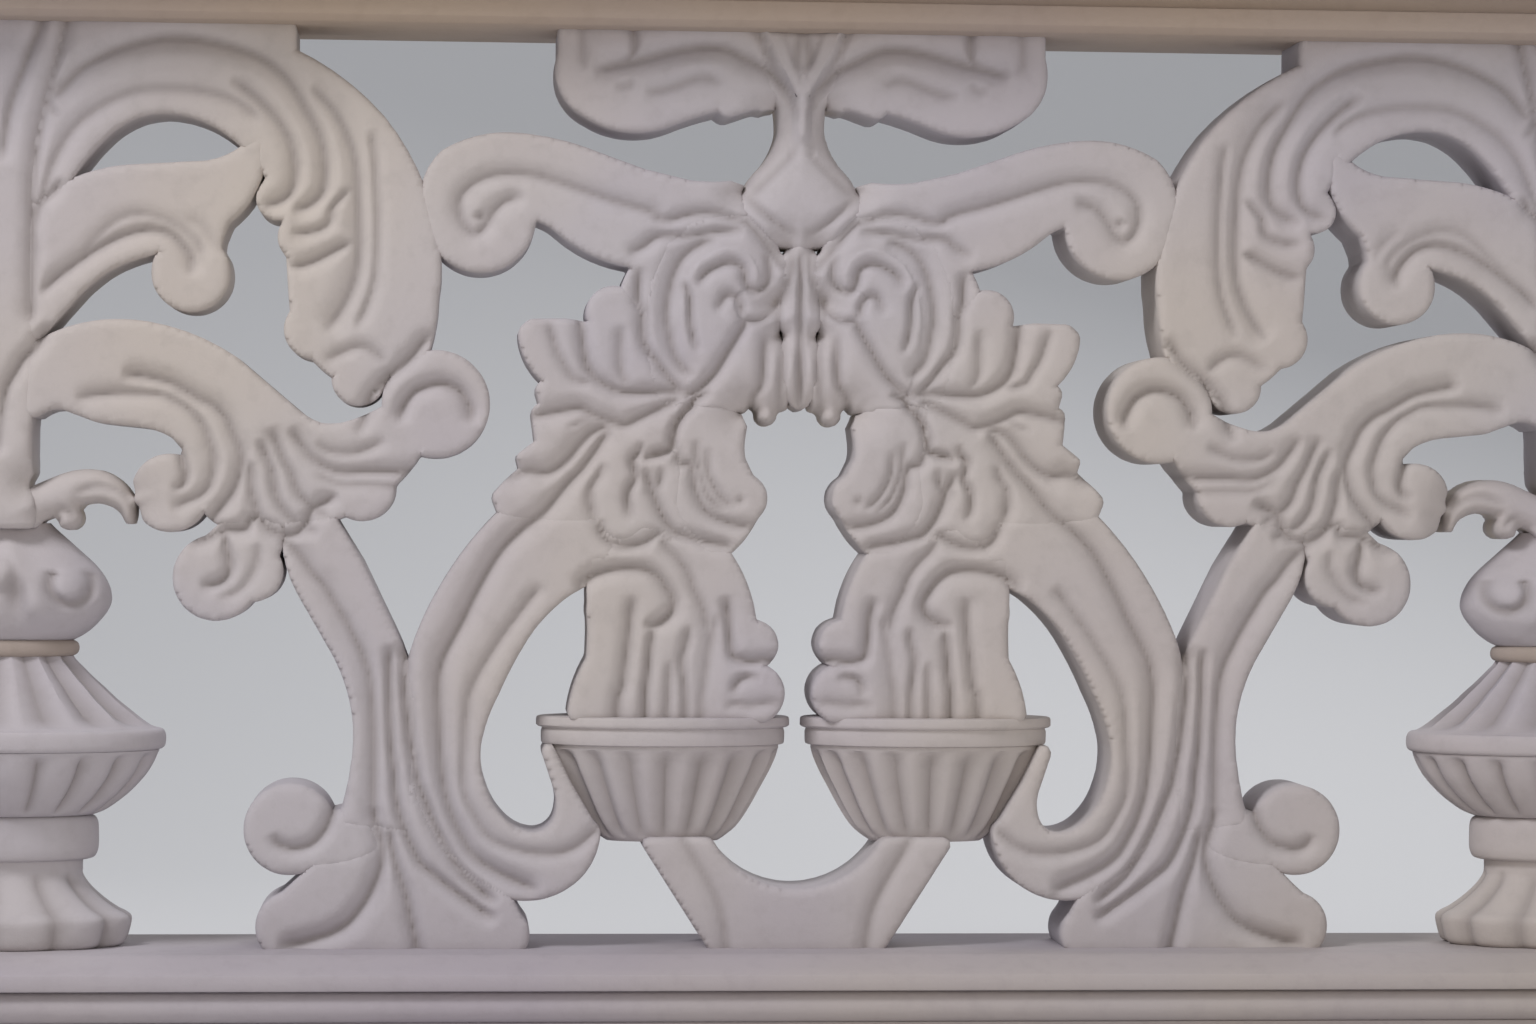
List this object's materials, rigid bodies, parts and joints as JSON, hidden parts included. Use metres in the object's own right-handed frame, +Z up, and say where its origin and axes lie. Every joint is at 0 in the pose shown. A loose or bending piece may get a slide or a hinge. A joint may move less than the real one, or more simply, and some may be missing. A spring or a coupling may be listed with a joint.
{
  "type": "carved stone openwork screen",
  "caption": "Openwork stone balustrade screen of leaf scrolls, fluted vases and hanging baskets between a moulded bottom rail and a coping.",
  "frame": {"origin": "bottom centre of the bottom rail", "axes": "+X along the screen, front towards -Y, +Z up"},
  "size_m": [1.98, 0.212, 0.9],
  "materials": {
    "carved_stone": "smoothly carved, weathered",
    "rail_stone": "smooth, weathered",
    "coping_stone": "smooth, weathered"
  },
  "bodies": {
    "root": {"acanthus_fans": "carved_stone", "arch_leaves": "carved_stone", "ball_curls": "carved_stone", "basket_bowls": "carved_stone", "basket_plumes": "carved_stone", "basket_rims": "carved_stone", "bed_moulding": "coping_stone", "bottom_plinth": "rail_stone", "bottom_slab": "rail_stone", "centre_rib": "carved_stone", "centre_stem": "carved_stone", "coping": "coping_stone", "fan_feet": "carved_stone", "foot_arms": "carved_stone", "foot_bracket": "carved_stone", "hanging_curls": "carved_stone", "heart_scrolls": "carved_stone", "hook_leaves": "carved_stone", "hoop_arms": "carved_stone", "leaf_curls": "carved_stone", "s_scrolls": "carved_stone", "tongue_scrolls": "carved_stone", "top_arms": "carved_stone", "top_leaves": "carved_stone", "vase_bowls": "carved_stone", "vase_collars": "carved_stone", "vase_crowns": "carved_stone", "vase_feet": "carved_stone", "vase_rims": "carved_stone", "vase_rings": "carved_stone", "vase_shoulders": "carved_stone", "vase_stems": "carved_stone"}
  },
  "joints": []
}
